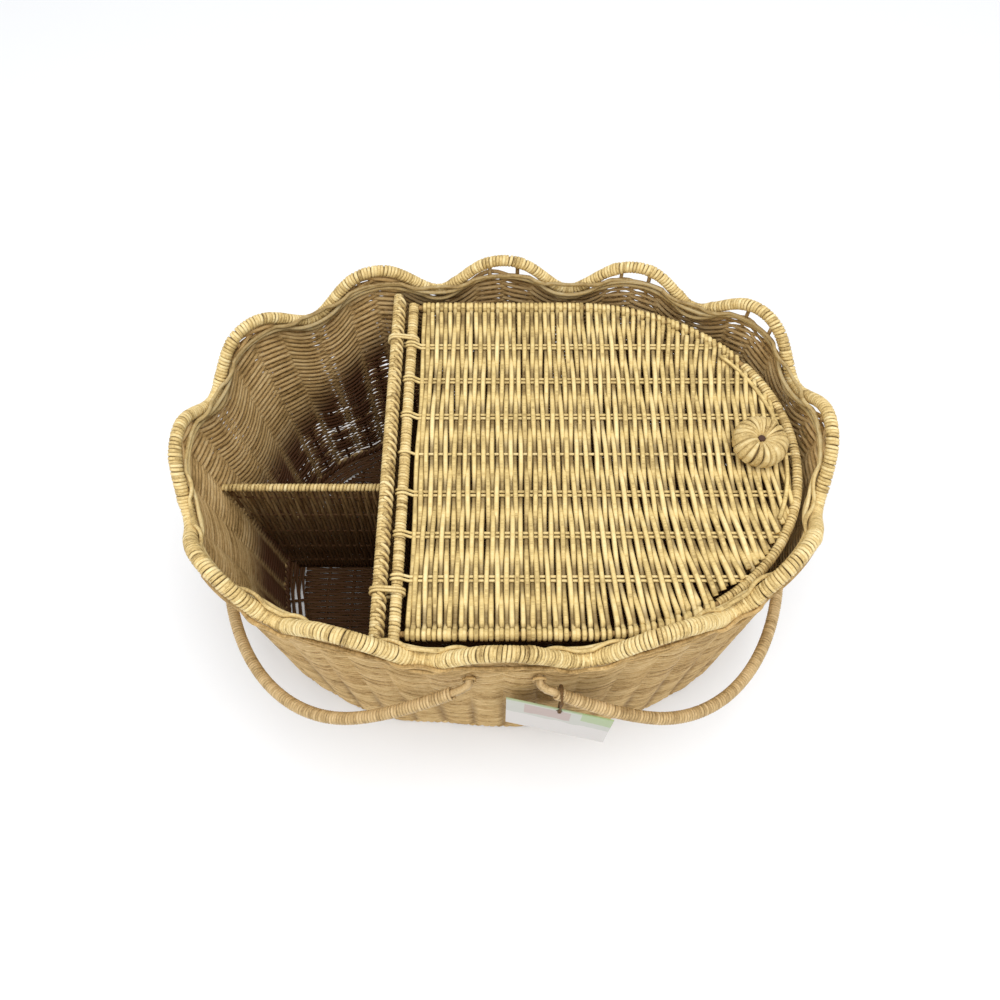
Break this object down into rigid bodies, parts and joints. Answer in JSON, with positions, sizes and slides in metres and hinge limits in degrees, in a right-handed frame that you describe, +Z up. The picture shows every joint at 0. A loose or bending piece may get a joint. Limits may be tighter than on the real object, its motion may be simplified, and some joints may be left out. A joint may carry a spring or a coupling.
{
  "type": "picnic basket",
  "caption": "Oval woven cane picnic basket with a scalloped rim, a hinged D-shaped lid with a knob, bottle bays and swinging carry handles.",
  "frame": {"origin": "middle of the surface that the basket stands on, under the centre of its overall box", "axes": "+X along the basket toward the lid's curved end, +Y toward the back, +Z up"},
  "size_m": [0.505, 0.3918, 0.2627],
  "materials": {
    "weave": "satin woven cane, varnished golden tan",
    "floor_weave": "satin woven cane, stained dark brown",
    "cane_wrap": "satin split cane, pale gold",
    "cane_core": "satin round cane, warm brown",
    "handle_wrap": "satin split cane, orange tan",
    "card": "matte coated card",
    "twine": "matte brown cord"
  },
  "bodies": {
    "basket": {"base_panel": "floor_weave", "base_border": "weave", "wall_weave": "weave", "wall_stakes": "cane_core", "rim_core": "cane_core", "rim_wrap": "cane_wrap", "main_divider_weave": "weave", "main_divider_rod": "cane_core", "main_divider_wrap": "cane_wrap", "short_divider_weave": "weave", "short_divider_rod": "cane_core", "short_divider_wrap": "cane_wrap", "hinge_tie_back": "cane_wrap", "hinge_tie_front": "cane_wrap", "pivot_eye_left_front": "cane_core", "pivot_eye_left_back": "cane_core", "pivot_eye_right_front": "cane_core", "pivot_eye_right_back": "cane_core"},
    "lid": {"lid_hinge_rod": "cane_core", "lid_hinge_wrap": "cane_wrap", "lid_bow_rod": "cane_core", "lid_bow_wrap": "cane_wrap", "lid_weave": "weave", "lid_stake_1": "cane_core", "lid_stake_2": "cane_core", "lid_stake_3": "cane_core", "lid_stake_4": "cane_core", "lid_stake_5": "cane_core", "lid_stake_6": "cane_core", "lid_stake_7": "cane_core", "knob_ring": "cane_core", "knob_winding": "cane_wrap", "knob_peg": "cane_core"},
    "handle_left": {"handle_left_rod": "cane_core", "handle_left_wrap": "handle_wrap", "handle_left_knot_front": "cane_core", "handle_left_knot_back": "cane_core"},
    "handle_right": {"handle_right_rod": "cane_core", "handle_right_wrap": "handle_wrap", "handle_right_knot_front": "cane_core", "handle_right_knot_back": "cane_core"},
    "tag": {"swing_tag": "card", "tag_tie": "twine"}
  },
  "joints": [
    {"name": "lid_hinge", "type": "hinge", "parent": "basket", "child": "lid", "pos_m": [-0.0774, 0, 0.224], "axis": [0, -1, 0], "range_deg": [0, 125]},
    {"name": "handle_left_swing", "type": "hinge", "parent": "basket", "child": "handle_left", "pos_m": [-0.025, 0, 0.202], "axis": [0, 1, 0], "range_deg": [-4, 117]},
    {"name": "handle_right_swing", "type": "hinge", "parent": "basket", "child": "handle_right", "pos_m": [0.025, 0, 0.202], "axis": [0, -1, 0], "range_deg": [-4, 117]},
    {"name": "tag_flap", "type": "hinge", "parent": "handle_right", "child": "tag", "pos_m": [0.04059, -0.18173, 0.19522], "axis": [-1, 0, 0], "range_deg": [0, 75]}
  ]
}
